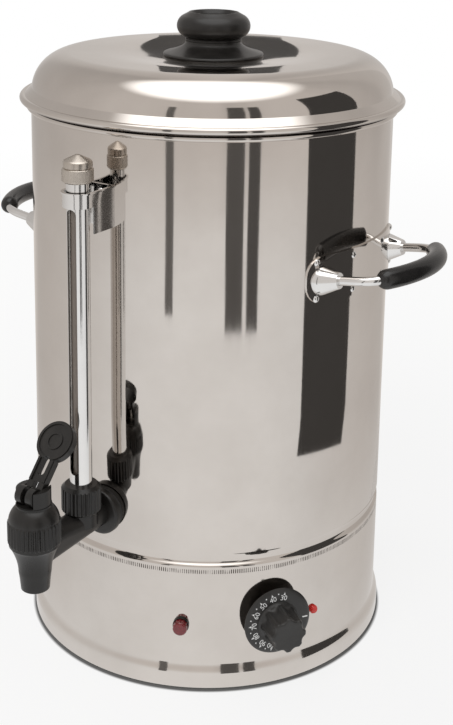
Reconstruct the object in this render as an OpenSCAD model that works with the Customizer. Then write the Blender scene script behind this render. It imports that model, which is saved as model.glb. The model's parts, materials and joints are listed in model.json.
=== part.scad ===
// Hot water urn: polished steel tank with a lift-off lid, a lever tap with a sight
// glass, two side handles, and a heated base with a thermostat and a pilot lamp.
// Millimetres. +Z is up, the origin is on the tank's axis at the floor, and the tap faces -Y.
// A bearing is an angle about +Z, measured from the tap's side towards +X.

/* [Tank] */
// Outer diameter of the tank
tank_d = 250; // [246:1:256]
// Thickness of the tank, the base skirt and the lid
sheet = 1.0; // [0.8:0.1:1.2]
// Height of the seam between the tank and the base skirt
seam_z = 92.5; // [90:0.5:94]
// Height of the top of the tank's rolled rim
rim_z = 377.5; // [374:0.5:386]
// Thickness of the rolled rim
rim_bead = 4.4; // [3.6:0.2:5]

/* [Lid] */
// Height of the lid's top above the tank's rim
lid_rise = 33.4; // [28:0.2:38]
// Gap between the tank's rim and the lid's bead
lid_gap = 0.5; // [0.3:0.1:0.8]
// Diameter of the lid's rolled bead
lid_bead_d = 265.6; // [264:0.2:268]
// Largest diameter of the lid's knob
knob_d = 50.6; // [44:0.2:54]

/* [Tap] */
// Height of the tap's shank above the floor
tap_z = 120; // [118:0.5:124]
// Distance from the tank's axis to the spout's axis
spout_r = 194.3; // [190:0.1:198]
// Radius of the outlet's bore
outlet_r = 7; // [6:0.1:7.5]
// Backward tilt of the closed lever
lever_tilt = 42; // [36:1:46]
// Diameter of the lever's round paddle
paddle_d = 26; // [22:0.5:28]

/* [Level gauge] */
// Distance from the tank's axis to the gauge's axis
gauge_r = 148.5; // [147.5:0.5:149.5]
// Outer diameter of the slotted shield tube
shield_d = 14.5; // [14:0.1:15]
// Height of the shield tube's top end
shield_top = 349; // [330:1:352]
// Width of the sight slot
sight_w = 7; // [5:0.5:8]

/* [Handles] */
// Height of the handle's bosses above the floor
handle_z = 280; // [270:1:300]
// Diameter of the grip sleeve
grip_d = 13; // [11:0.5:15]
// Diameter of the bent rod
rod_d = 6; // [5:0.2:6.4]
// Distance from the tank's axis to the middle of the grip
grip_reach = 168.5; // [164:0.5:172]

/* [Controls] */
// Bearing of the thermostat's dial
dial_az = 54.2; // [50:0.2:58]
// Height of the dial's centre
dial_z = 49.9; // [46:0.1:54]
// Diameter of the dial's disc
dial_d = 46.4; // [42:0.2:50]
// Bearing of the pilot lamp
lamp_az = 25.7; // [22:0.1:30]
// Bearing of the red index plug
index_az = 68.5; // [67.5:0.1:72]

/* [Hidden] */
$fn = 64;

seat = 0.05;             // gap left between faces that are seated on each other
tank_r = tank_d / 2;
tank_in = tank_r - sheet;
groove_r = tank_r - 1.3; // bottom of the seam's groove
groove_top = seam_z + 4.2;
groove_low = seam_z - 3.9;
bottom_z = 104;          // underside of the tank's floor
flare_r = tank_r + 3;    // foot of the base skirt
flare_z = 10;
skirt_low = 1.8;
plate_z = 8;             // underside of the base plate
foot_pitch_r = 100;
foot_r = 12;
foot_screw_r = 2;

lid_z = rim_z + lid_gap; // underside of the lid's bead
lid_top = rim_z + lid_rise;
lid_wall_r = tank_r - 0.4;
lid_skirt_r = tank_in - 1.6;
shoulder_r = 26.2;
dish_r = 36;             // flat middle of the lid
dish_depth = 2.6;
crest_r = 81;
dish_z = lid_top - dish_depth;
knob_r = knob_d / 2;
knob_h = 29.6;
knob_screw_r = 2.5;

spout_low = 96;
seat_z = tap_z - 4;      // valve seat
chamber_r = 9;
bonnet_z = tap_z + 8;    // lower edge of the bonnet
collar_r = 12.5;
stem_r = 2.5;
stem_hole_r = 2.56;
pin_z = tap_z + 40;
pin_r = 1.5;
boss_r = 10.8;
boss_top = pin_z + 4;
boss_slot_w = 13.6;
boss_floor = pin_z - 6;
heel_r = 5.6;            // the lever's heel is a round cam set forward of its pin
heel_offset = 4.8;
shank_r = 8;
shank_in = tank_in - 16; // inner end of the shank
water_r = 3.5;           // waterway through the arm
flange_r = 15.5;
flange_out = tank_r + 7;
flange_in = tank_r + 2;
riser_r = 9.2;
riser_top = tap_z + 22;

nut_z = tap_z + 9;
nut_r = 12.8;
nut_top = tap_z + 28;
bonnet_rib_r = 16.6;      // the tap bonnet's ribbed foot
arm_gap = 0.4;            // the tap's arm is cut this far clear of the nut and the bonnet
glass_r = 5;
shield_low = nut_top - 4;
shield_r = shield_d / 2;
sight_low = tap_z + 36;
sight_top = shield_top - 18;
cap_r = 9.9;
cap_low = shield_top - 1.7;
bracket_top = shield_top - 7.4;
bracket_h = 26.8;
bracket_front_h = 9.6;
bracket_r = 8.6;
bracket_t = 1.0;
bracket_lip = 0.9;       // thin flange round the strap's upper edge
foot_half = asin((bracket_r + bracket_t / 2) / tank_r);   // half the bearing that the bracket's foot covers

handle_plate_t = 1.2;
handle_plate_h = 32;
handle_half_w = 59;
handle_corner_r = 13;
boss_t = 46;             // distance of each boss from the handle's middle
rod_lift = 8;            // the rod's plane rises away from the tank by this angle
rod_r = rod_d / 2;
grip_r = grip_d / 2;
bow_r = 65.3;            // bow of the grip
bow_half = 34.5;
bend_r = 20.8;
rivet_r = 1.5;
rivet_head_r = 2.35;
rivet_spots = [[24.4, -12], [24.4, 12], [9.4, -11.5], [9.4, 11.5]];

shaft_r = 3;
dial_gap = 5.7;
dial_t = 3;
barrel_r = 14;
barrel_top_r = 13;
barrel_h = 18.5;
lamp_z = 46.6;
lens_r = 4.85;
index_z = 46;
gland_z = 30;
gland_bore_r = 4;
gland_neck = 1.6;         // the bore is wider below this height, inside the wall
gland_step = 0.8;         // how much wider the bore is there

element_r = 55;
element_tube_r = 4;
heat_plate_t = 3;
heat_plate_r = 78;
tie_r = 3;

// Points of an arc in a plane, as [x, y] pairs
function arc(cx, cy, r, a0, a1, n) =
  [for (i = [0:n]) [cx + r * cos(a0 + (a1 - a0) * i / n), cy + r * sin(a0 + (a1 - a0) * i / n)]];

// Outline of a box about the origin with rounded corners, from its half sizes
function rounded_box(hx, hy, r, n) = concat(
  arc(hx - r, hy - r, r, 0, 90, n), arc(r - hx, hy - r, r, 90, 180, n),
  arc(r - hx, r - hy, r, 180, 270, n), arc(hx - r, r - hy, r, 270, 360, n));

// Puts a piece on the tank's wall: local +Z points outward, local +Y is up
module on_wall(az, z, r = tank_r) {
  rotate([0, 0, az]) translate([0, -r, z]) rotate([90, 0, 0]) children();
}

// Cylinder that stands in for the tank when a seat is cut to its curve
module tank_curve(r) {
  cylinder(r = r, h = rim_z, $fn = 360);
}

// Disc with n round ribs or flutes on its edge, extruded
module fluted(r, depth, n, h) {
  linear_extrude(h) polygon([for (i = [0:n * 4 - 1])
    let (a = 360 * i / (n * 4), q = r - (i % 4 > 1 ? depth : 0)) [q * cos(a), q * sin(a)]]);
}

// Hexagonal nut or head
module hex(across, h) {
  cylinder(r = across / sqrt(3), h = h, $fn = 6);
}

// Ring with a square section
module ring(r_in, r_out, h) {
  difference() {
    cylinder(r = r_out, h = h);
    translate([0, 0, -1]) cylinder(r = r_in, h = h + 2);
  }
}

// Shallow dome, such as a rivet's head
module dome(r, h) {
  q = (r * r + h * h) / (2 * h);
  intersection() {
    translate([0, 0, h - q]) sphere(r = q, $fn = 32);
    cylinder(r = r + 1, h = h + 1);
  }
}

// ---- Tank ----

module tank_shell() {
  color("gainsboro") difference() {
    rotate_extrude($fn = 128) {
      polygon([
        [groove_r - sheet, seam_z + seat], [groove_r, seam_z + seat], [tank_r, groove_top],
        [tank_r, rim_z - rim_bead / 2], [tank_in, rim_z - rim_bead / 2], [tank_in, groove_top]]);
      translate([tank_in + rim_bead / 2, rim_z - rim_bead / 2]) circle(d = rim_bead, $fn = 32);
    }
    on_wall(0, tap_z) translate([0, 0, -9]) cylinder(r = shank_r + 0.3, h = 18);
    for (side = [90, 270]) rivet_pattern(side, rivet_r + seat);
    bracket_screw_pattern(1.55);
  }
}

module tank_bottom() {
  floor_r = tank_in - seat;
  knuckle = 5;
  color("silver") rotate_extrude($fn = 128) polygon(concat(
    [[0, bottom_z], [floor_r - knuckle, bottom_z]],
    arc(floor_r - knuckle, bottom_z - knuckle + sheet, knuckle - sheet, 90, 0, 6),
    [[floor_r - sheet, groove_top + 0.6], [floor_r, groove_top + 0.6]],
    arc(floor_r - knuckle, bottom_z - knuckle + sheet, knuckle, 0, 90, 8),
    [[0, bottom_z + sheet]]));
}

module base_skirt() {
  color("gainsboro") difference() {
    rotate_extrude($fn = 128) polygon(concat(
      [[flare_r - sheet, skirt_low], [flare_r, skirt_low], [flare_r, flare_z]],
      arc(flare_r - 5, flare_z, 5, 0, 50, 4),
      [[tank_r, flare_z + 10], [tank_r, groove_low], [groove_r, seam_z]],
      [[groove_r - sheet, seam_z], [tank_in, groove_low - 0.6], [tank_in, flare_z + 9.6]],
      arc(flare_r - 5, flare_z, 5 - sheet, 50, 0, 4)));
    on_wall(dial_az, dial_z) {
      translate([0, 0, -9]) cylinder(r = 5.4, h = 18);
      for (x = [-14, 14]) translate([x, 0, -9]) cylinder(r = 1.8, h = 18);
    }
    on_wall(lamp_az, lamp_z) translate([0, 0, -9]) cylinder(r = 4.1, h = 18);
    on_wall(index_az, index_z) translate([0, 0, -9]) cylinder(r = 2.05, h = 18);
    on_wall(180, gland_z) translate([0, 0, -9]) cylinder(r = 6.6, h = 18);
  }
}

module base_plate() {
  slot_w = 5;
  color("darkgray") difference() {
    translate([0, 0, plate_z]) union() {
      cylinder(r = flare_r - sheet - seat, h = 1.2, $fn = 128);
      ring(flare_r - sheet - seat - 1.2, flare_r - sheet - seat, 1.9);
    }
    for (ring_r = [42, 58, 74], k = [0:11]) rotate([0, 0, 30 * k + 15]) {
      for (a = [-8, 8]) rotate([0, 0, a]) translate([ring_r, 0, 0]) cylinder(d = slot_w, h = 20);
      translate([0, 0, plate_z - 1]) rotate([0, 0, -8]) rotate_extrude(angle = 16)
        translate([ring_r - slot_w / 2, 0]) square([slot_w, 5]);
    }
    foot_places() translate([0, 0, plate_z - 1]) cylinder(r = foot_screw_r + 0.1, h = 5);
    translate([0, 0, plate_z - 1]) cylinder(r = tie_r + 0.1, h = 5);
    translate([30, 88, plate_z - 1]) cylinder(r = 2.1, h = 5);
    for (x = [-14, 14]) translate([x, 88, plate_z - 1]) cylinder(r = 1.6, h = 5);
  }
}

module foot_places() {
  for (k = [0:3]) rotate([0, 0, 45 + 90 * k]) translate([foot_pitch_r, 0, 0]) children();
}

module rubber_feet() {
  color("dimgray") foot_places() difference() {
    rotate_extrude() polygon(concat(
      [[0, 0], [foot_r - 2.5, 0]],
      arc(foot_r - 2.5, 1.5, 1.5, -90, 0, 3),
      [[foot_r, plate_z - seat], [0, plate_z - seat]]));
    translate([0, 0, -1]) cylinder(r = 4.6, h = 4.5);
    translate([0, 0, -1]) cylinder(r = foot_screw_r + 0.1, h = 12);
  }
}

module foot_screws() {
  color("silver") foot_places() {
    translate([0, 0, 1.3]) cylinder(r = 4, h = 2.15);
    cylinder_from(foot_screw_r, 1.3, plate_z + 6);
  }
}

module cylinder_from(r, z0, z1) {
  translate([0, 0, z0]) cylinder(r = r, h = z1 - z0);
}

module foot_nuts() {
  color("silver") foot_places() difference() {
    translate([0, 0, plate_z + 1.25]) hex(7, 3.2);
    cylinder_from(foot_screw_r + seat, plate_z, plate_z + 6);
  }
}

module tie_rod() {
  color("silver") cylinder_from(tie_r, plate_z - 4.6, bottom_z - heat_plate_t - 2 * seat);
}

module tie_nuts() {
  color("silver") for (z = [plate_z - 4.05, plate_z + 1.25, 86.7]) difference() {
    translate([0, 0, z]) hex(10, 4);
    cylinder_from(tie_r + seat, z - 1, z + 5);
  }
}

// ---- Lid ----

// One side of the lid's section, from the flat middle over the shoulder to the angle end
function lid_line(t, end) = concat(
  [[0, dish_z - t], [dish_r, dish_z - t]],
  arc(crest_r, lid_top - 60, 60 - t, 90 + 12, 90, 4),
  arc(lid_wall_r - shoulder_r, lid_top - shoulder_r, shoulder_r - t, 90, end, 12));

// Pressed sheet with a rolled bead outside and a locating skirt that drops into the tank
module lid() {
  bead_r = 2.5;
  inner = lid_line(sheet, 12);
  color("gainsboro") difference() {
    rotate_extrude($fn = 128) polygon(concat(
      lid_line(0, 6),
      arc(lid_bead_d / 2 - bead_r, lid_z + bead_r, bead_r, 110, -200, 16),
      [[lid_wall_r - sheet, lid_z + 9.2], [lid_skirt_r, lid_z + 9.2], [lid_skirt_r, lid_z - 10]],
      [[lid_skirt_r - sheet, lid_z - 10], [lid_skirt_r - sheet, lid_z + 10.2]],
      [for (i = [len(inner) - 1:-1:0]) inner[i]]));
    cylinder_from(knob_screw_r + 0.1, dish_z - 3, dish_z + 2);
  }
}

module lid_knob() {
  neck_r = 19.3;
  neck_z = 9.6;
  z0 = dish_z + seat;
  color("dimgray") translate([0, 0, z0]) difference() {
    rotate_extrude($fn = 96) polygon(concat(
      [[0, 0], [34, 0], [34.6, 0.8], [34, 1.8]],
      [for (i = [1:6]) let (q = i / 6)
        [neck_r + (34 - neck_r) * pow(1 - q, 2.2), 1.8 + (neck_z - 1.8) * q]],
      [[neck_r, neck_z + 0.5], [neck_r - 0.7, neck_z + 0.6],
        [neck_r - 0.7, neck_z + 1], [neck_r, neck_z + 1.1]],
      [[neck_r, neck_z + 1.8], [neck_r - 0.7, neck_z + 1.9], [neck_r - 0.7, neck_z + 2.3]],
      arc(neck_r - 2, 20.2, knob_r - neck_r + 2, -62, 62, 10),
      arc(16.6, knob_h - 1.2, 1.2, 40, 150, 4),
      [[13, knob_h - 3.2], [0, knob_h - 4.2]]));
    translate([0, 0, -1]) cylinder(r = knob_screw_r + seat, h = 15);
    ring(8, 29, 1);
  }
}

module lid_knob_screw() {
  color("silver") {
    cylinder_from(knob_screw_r, dish_z - sheet - 1.6, dish_z + 12);
    translate([0, 0, dish_z - sheet - 1.3 - 2.2]) cylinder(r = 4.6, h = 2.2);
  }
}

module lid_knob_washer() {
  color("silver") translate([0, 0, dish_z - sheet - 1.25]) ring(knob_screw_r + seat, 8, 1.2);
}

// ---- Tap ----

// Frame on the spout's axis
module at_spout(z = 0) {
  translate([0, -spout_r, z]) children();
}

// Frame along the shank: local +Z points out of the tank
module along_shank(y) {
  translate([0, -y, tap_z]) rotate([90, 0, 0]) children();
}

module tap_arm() {
  hull() {
    along_shank(flange_out - 1) cylinder(r = 8.8, h = 1, $fn = 32);
    translate([0, -spout_r + 8, tap_z + 4]) rotate([90, 0, 0]) cylinder(r = 7.6, h = 1, $fn = 32);
    translate([0, -spout_r + 8, tap_z - 6.5]) rotate([90, 0, 0]) cylinder(r = 5.5, h = 1, $fn = 32);
  }
}

module spout_outside() {
  rotate_extrude() polygon(concat(
    [[0, spout_low], [8.6, spout_low], [9, spout_low + 0.4], [9.6, spout_low + 7]],
    [for (i = [0:8]) let (q = i / 8)
      [10.3 + 5 * pow(q, 1.9), spout_low + 12 + (tap_z - spout_low - 6.5) * q]],
    [[15.9, tap_z + 6.2], [15.9, bonnet_z - seat], [collar_r, bonnet_z - seat]],
    [[collar_r, bonnet_z + 9], [0, bonnet_z + 9]]));
}

module tap_body() {
  color("dimgray") difference() {
    union() {
      along_shank(shank_in) cylinder(r = shank_r, h = flange_in - shank_in + 1);
      along_shank(flange_in) rotate_extrude() polygon(concat(
        [[0, 0], [flange_r, 0], [flange_r, 3]], arc(flange_r - 2, 3, 2, 0, 90, 4), [[0, 5]]));
      difference() {
        tap_arm();
        at_gauge() cylinder_from(nut_r + arm_gap, nut_z - seat, nut_top);
        at_spout() cylinder_from(bonnet_rib_r + arm_gap + 0.2, bonnet_z - seat, boss_top);
      }
      at_spout() spout_outside();
      translate([0, -gauge_r, 0]) {
        cylinder_from(riser_r + 1.6, tap_z, nut_z - seat);
        cylinder_from(riser_r, tap_z, riser_top);
      }
    }
    along_shank(shank_in - 1) cylinder(r = water_r, h = spout_r - shank_in + 1);
    at_spout() cylinder_from(outlet_r, spout_low - 1, seat_z + 1);
    at_spout() cylinder_from(chamber_r, seat_z, bonnet_z + 10);
    translate([0, -gauge_r, 0]) {
      cylinder_from(water_r, tap_z, riser_top);
      cylinder_from(glass_r + 0.3, riser_top - 12, riser_top + 1);
      cylinder_from(riser_r - 1.4, riser_top - 5, riser_top + 1);
    }
  }
}

module tap_outer_washer() {
  color("dimgray") difference() {
    along_shank(tank_r - 2) cylinder(r = flange_r - 0.8, h = 4 - seat);
    along_shank(tank_r - 3) cylinder(r = shank_r + seat, h = 7);
    tank_curve(tank_r + seat);
  }
}

module tap_inner_washer() {
  color("dimgray") intersection() {
    along_shank(tank_in - 3) ring(shank_r + seat, 13, 4);
    tank_curve(tank_in - seat);
  }
}

module tap_shank_nut() {
  color("silver") difference() {
    along_shank(tank_in - 9.1) hex(24, 6);
    along_shank(tank_in - 12) cylinder(r = shank_r + seat, h = 14);
  }
}

module tap_bonnet() {
  rib_h = 13.5;
  color("dimgray") difference() {
    at_spout(bonnet_z) union() {
      intersection() {
        fluted(16.6, 0.7, 36, rib_h + 2);
        rotate_extrude() polygon([[0, 0], [16, 0], [bonnet_rib_r, 0.8], [bonnet_rib_r, rib_h],
          [15.4, rib_h + 2], [0, rib_h + 2]]);
      }
      rotate_extrude() polygon(concat(
        [[0, rib_h]], [[15.9, rib_h]], arc(3.4, rib_h + 0.2, 12.6, 8, 62, 8),
        [[boss_r + 0.4, rib_h + 12], [0, rib_h + 12]]));
      cylinder_from(boss_r, rib_h + 10, boss_top - bonnet_z);
    }
    at_spout() {
      cylinder_from(collar_r + seat, bonnet_z - 1, bonnet_z + 9.1);
      cylinder_from(chamber_r + 0.6, bonnet_z, bonnet_z + 15);
      cylinder_from(stem_hole_r, bonnet_z, boss_top);
      translate([-boss_slot_w / 2, -boss_r - 8, boss_floor]) cube([boss_slot_w, 2 * boss_r + 16, 20]);
    }
  }
}

module tap_stem() {
  eye_half = 1.3;
  round_top = pin_z - 10;   // the lever's heel sweeps above this
  color("silver") at_spout() difference() {
    union() {
      cylinder_from(stem_r, seat_z + 4, round_top);
      cylinder_from(5.5, seat_z + 8.1, seat_z + 9.6);
      intersection() {
        translate([-eye_half, 0, pin_z]) rotate([0, 90, 0]) cylinder(r = 3.4, h = 2 * eye_half);
        cylinder_from(stem_r, pin_z - 6, pin_z + 4);
      }
      intersection() {
        cylinder_from(stem_r, round_top - 0.5, pin_z);
        translate([-eye_half, -5, round_top - 1]) cube([2 * eye_half, 10, pin_z - round_top + 2]);
      }
    }
    translate([-5, 0, pin_z]) rotate([0, 90, 0]) cylinder(r = pin_r + 0.04, h = 10);
  }
}

module tap_seat_cup() {
  color("white") at_spout() difference() {
    rotate_extrude() polygon([[0, seat_z + 0.3], [7.6, seat_z + 0.3], [8.3, seat_z + 2], [8.3, seat_z + 5],
      [6, seat_z + 8 ], [0, seat_z + 8]]);
    cylinder_from(stem_r + seat, seat_z + 3.9, seat_z + 9);
  }
}

// Coil spring between the stem's collar and the inside of the bonnet
module tap_spring() {
  wire = 0.7;
  coil_r = 6.4;
  turns = 5;
  low = seat_z + 9.7 + wire;
  pitch = (bonnet_z + 14.9 - wire - low) / turns;
  sides = 8;
  steps = 16;
  rings = [for (i = [0:turns * steps]) let (a = 360 * i / steps, z = low + pitch * i / steps)
    for (k = [0:sides - 1]) let (b = 360 * k / sides, q = coil_r + wire * cos(b))
      [q * cos(a), q * sin(a), z + wire * sin(b)]];
  last = turns * steps * sides;
  faces = concat(
    [for (i = [0:turns * steps - 1], k = [0:sides - 1]) let (j = (k + 1) % sides, p = i * sides)
      [p + k, p + j, p + sides + j, p + sides + k]],
    [[for (k = [sides - 1:-1:0]) k]], [[for (k = [0:sides - 1]) last + k]]);
  color("silver") at_spout() polyhedron(points = rings, faces = faces, convexity = 6);
}

module tap_lever() {
  half = 6.4;            // half of the neck's width
  thick = 4.6;
  reach = 33.6;          // pin to the paddle's centre
  fork = 3.5;            // gap that takes the stem's eye
  ease = 0.2;            // the neck stands this far inside the heel's sides
  slot_w = 5;
  slot_low = 13.5;
  slot_high = 21;
  pad_r = paddle_d / 2;
  color("dimgray") translate([0, -spout_r, pin_z]) difference() {
    union() {
      translate([-half, -heel_offset, 0]) rotate([0, 90, 0]) cylinder(r = heel_r, h = 2 * half);
      rotate([-lever_tilt, 0, 0]) {
        translate([ease - half, ease / 2 - thick / 2, 0])
          cube([2 * (half - ease), thick - ease, reach - 6]);
        for (s = [-1, 1]) translate([s * (half - 1.4) - 0.8, -thick / 2 - 0.9, 7])
          cube([1.6, thick + 1.8, reach - 19]);
        translate([0, thick / 2, reach]) rotate([90, 0, 0]) {
          cylinder(r = pad_r, h = thick);
          translate([0, 0, thick - 0.5]) ring(pad_r - 2.2, pad_r - 0.6, 1.3);
          translate([0, 0, thick - 0.5]) ring(4.4, 5.6, 1.1);
        }
      }
    }
    rotate([-lever_tilt, 0, 0]) {
      for (d = [slot_low, slot_high]) translate([0, 6, d]) rotate([90, 0, 0]) cylinder(d = slot_w, h = 12);
      translate([-slot_w / 2, -6, slot_low]) cube([slot_w, 12, slot_high - slot_low]);
    }
    translate([-fork / 2, -16, -9]) cube([fork, 24, 15.4]);
    translate([-10, 0, 0]) rotate([0, 90, 0]) cylinder(r = pin_r + 0.02, h = 20);
  }
}

module tap_lever_pin() {
  color("silver") translate([-6.2, -spout_r, pin_z]) rotate([0, 90, 0]) cylinder(r = pin_r, h = 12.4);
}

// ---- Level gauge ----

module at_gauge() {
  translate([0, -gauge_r, 0]) children();
}

module gauge_nut() {
  h = nut_top - nut_z;
  color("dimgray") at_gauge() difference() {
    translate([0, 0, nut_z]) intersection() {
      fluted(nut_r, 0.6, 30, h);
      rotate_extrude() polygon([[0, 0], [nut_r - 1.6, 0], [nut_r, 1.8],
        [nut_r, h - 2.4], [nut_r - 2.4, h], [0, h]]);
    }
    cylinder_from(riser_r + seat, nut_z - 1, riser_top + 1);
    cylinder_from(shield_r + seat, shield_low, nut_top + 1);
    cylinder_from(glass_r + 0.4, nut_z, nut_top);
  }
}

module gauge_lower_seal() {
  color("dimgray") at_gauge() translate([0, 0, riser_top - 4.9]) ring(glass_r + seat, riser_r - 1.5, 4.8);
}

module gauge_upper_seal() {
  color("dimgray") at_gauge() translate([0, 0, shield_top - 6]) ring(glass_r + seat, shield_r - 0.85, 5);
}

module gauge_glass() {
  color("azure", 0.35) at_gauge() translate([0, 0, riser_top - 11])
    ring(glass_r - 1.2, glass_r, shield_top - riser_top + 13);
}

module gauge_shield() {
  slot = sight_w / 2;
  color("silver") at_gauge() difference() {
    translate([0, 0, shield_low + seat]) ring(shield_r - 0.8, shield_r, shield_top - shield_low - seat);
    for (z = [sight_low + slot, sight_top - slot])
      translate([0, 0, z]) rotate([90, 0, 0]) cylinder(r = slot, h = 12);
    translate([-slot, -12, sight_low + slot]) cube([sight_w, 12, sight_top - sight_low - sight_w]);
  }
}

module gauge_cap() {
  color("silver") at_gauge() difference() {
    translate([0, 0, cap_low]) union() {
      intersection() {
        fluted(cap_r, 0.5, 30, 9.1);
        rotate_extrude() polygon([[0, 0], [cap_r - 1, 0], [cap_r + 0.1, 1.1],
          [cap_r + 0.1, 8], [cap_r - 1, 9.1], [0, 9.1]]);
      }
      rotate_extrude() polygon([[0, 8], [8.6, 8], [8.6, 12.7], [2.6, 18.1], [1.2, 18.5], [0, 18.5]]);
    }
    cylinder_from(shield_r + seat, cap_low - 1, shield_top + seat);
    cylinder_from(glass_r + 0.3, cap_low, shield_top + 3);
  }
}

// Outline of the bracket's strap around the shield tube, seen from above
module bracket_outline(w, run) {
  circle(r = w);
  translate([-w, 0]) square([2 * w, run]);
}

// The strap's wall, thick outside the clear radius, from its lower face up
module bracket_strap(thick, low, high) {
  run = gauge_r - tank_r + 2;
  at_gauge() translate([0, 0, low]) linear_extrude(high - low) difference() {
    bracket_outline(bracket_r + thick, run);
    bracket_outline(bracket_r, run + 1);
  }
}

module gauge_bracket() {
  z0 = bracket_top - bracket_h;
  color("silver") difference() {
    union() {
      bracket_strap(bracket_t, z0, bracket_top);
      bracket_strap(bracket_t + bracket_lip, bracket_top - bracket_lip, bracket_top);
      rotate([0, 0, -90 - foot_half]) translate([0, 0, z0])
        rotate_extrude(angle = 2 * foot_half, $fn = 360)
          translate([tank_r + seat, 0]) square([bracket_t, bracket_h]);
    }
    at_gauge() translate([-20, -20, z0 - 1]) cube([40, 24, bracket_h - bracket_front_h + 1]);
    tank_curve(tank_r + seat);
    bracket_screw_pattern(1.55);
  }
}

module bracket_screw_places() {
  for (z = [5, bracket_h - 5]) on_wall(0, bracket_top - z) children();
}

module bracket_screw_pattern(r) {
  bracket_screw_places() translate([0, 0, -5]) cylinder(r = r, h = 10);
}

module gauge_bracket_screws() {
  color("silver") bracket_screw_places() {
    translate([0, 0, -3]) cylinder(r = 1.5, h = 4.6);
    translate([0, 0, 1.12]) dome(2.4, 1.3);
  }
}

// ---- Handles ----

// Frame of a handle: local +X points away from the tank, local +Y runs along it
module on_side(az) {
  rotate([0, 0, az - 90]) children();
}

module rivet_places(az) {
  for (p = rivet_spots, s = [-1, 1]) on_wall(az + s * p[0], handle_z + p[1]) children();
}

module rivet_pattern(az, r) {
  rivet_places(az) translate([0, 0, -4]) cylinder(r = r, h = 10, $fn = 24);
}

module handle_plate(az) {
  color("gainsboro") difference() {
    intersection() {
      on_side(az) translate([0, 0, handle_z - handle_plate_h / 2]) rotate([0, 0, -32])
        rotate_extrude(angle = 64, $fn = 128)
          translate([tank_r + seat, 0]) square([handle_plate_t, handle_plate_h]);
      on_side(az) translate([tank_r - 40, 0, handle_z]) rotate([90, 0, 90]) linear_extrude(60)
        polygon(rounded_box(handle_half_w, handle_plate_h / 2, handle_corner_r, 6));
    }
    rivet_pattern(az, rivet_r + seat);
  }
}

// The rod's frame: its plane passes through the bosses and rises outward
module rod_frame(az) {
  on_side(az) translate([tank_r - 5, 0, handle_z]) rotate([0, -rod_lift, 0])
    translate([5 - tank_r, 0, 0]) children();
}

// A round bar along the handle's line: bowed middle, one bend and one straight run to each side
module rod_line(r) {
  bow_x = grip_reach - bow_r;
  end_x = bow_x + bow_r * cos(bow_half);
  end_y = bow_r * sin(bow_half);
  bend_x = end_x - bend_r * cos(bow_half);
  bend_y = end_y - bend_r * sin(bow_half);
  translate([bow_x, 0, 0]) rotate([0, 0, -bow_half]) rotate_extrude(angle = 2 * bow_half, $fn = 96)
    translate([bow_r, 0]) circle(r = r, $fn = 32);
  for (m = [0, 1]) mirror([0, m, 0]) {
    translate([bend_x, bend_y, 0]) rotate([0, 0, bow_half]) rotate_extrude(angle = 90 - bow_half, $fn = 96)
      translate([bend_r, 0]) circle(r = r, $fn = 32);
    translate([bend_x, bend_y + bend_r, 0]) rotate([0, -90, 0])
      cylinder(r = r, h = bend_x - tank_r + 3, $fn = 32);
  }
}

module handle_bosses(az) {
  color("silver") difference() {
    rod_frame(az) for (s = [-1, 1]) translate([tank_r - 12, s * boss_t, 0]) rotate([0, 90, 0])
      rotate_extrude() polygon([[0, 0], [10, 0], [10, 3], [5.6, 14.5], [5.2, 15.4], [0, 15.4]]);
    tank_curve(tank_r + handle_plate_t + 2 * seat);
    rod_frame(az) rod_line(rod_r + seat);
  }
}

// Stations along the rod from its middle to one foot, each [x, y, angle of the outward side]
function rod_half(foot_x) =
  let (bow_x = grip_reach - bow_r,
       bend_x = bow_x + (bow_r - bend_r) * cos(bow_half),
       bend_y = (bow_r - bend_r) * sin(bow_half))
  concat(
    [for (i = [0:7]) let (a = bow_half * i / 8) [bow_x + bow_r * cos(a), bow_r * sin(a), a]],
    [for (i = [0:7]) let (a = bow_half + (90 - bow_half) * i / 7)
      [bend_x + bend_r * cos(a), bend_y + bend_r * sin(a), a]],
    [[foot_x, bend_y + bend_r, 90]]);

// Both halves of a line of stations, in order along the bar
function both_ways(half) =
  let (last = len(half) - 1) concat([for (i = [last:-1:1]) [half[i][0], -half[i][1], -half[i][2]]], half);

// Rings of points round a line of stations, one radius for each station
function bar_skin(line, radii, sides) = [for (i = [0:len(line) - 1], k = [0:sides - 1])
  let (p = line[i], b = 360 * k / sides, q = radii[i] * cos(b))
  [p[0] + q * cos(p[2]), p[1] + q * sin(p[2]), radii[i] * sin(b)]];

// Quads between neighbouring rings, the first ring starting at point number start
function bar_sides(count, sides, start = 0) = [for (i = [0:count - 2], k = [0:sides - 1])
  let (j = (k + 1) % sides, p = start + i * sides) [p + k, p + sides + k, p + sides + j, p + j]];

module handle_rod(az) {
  sides = 16;
  line = both_ways(rod_half(tank_r - 2.5));
  count = len(line);
  faces = concat(bar_sides(count, sides), [[for (k = [0:sides - 1]) k]],
    [[for (k = [sides - 1:-1:0]) (count - 1) * sides + k]]);
  color("silver") rod_frame(az)
    polyhedron(points = bar_skin(line, [for (p = line) rod_r], sides), faces = faces, convexity = 4);
}

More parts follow.
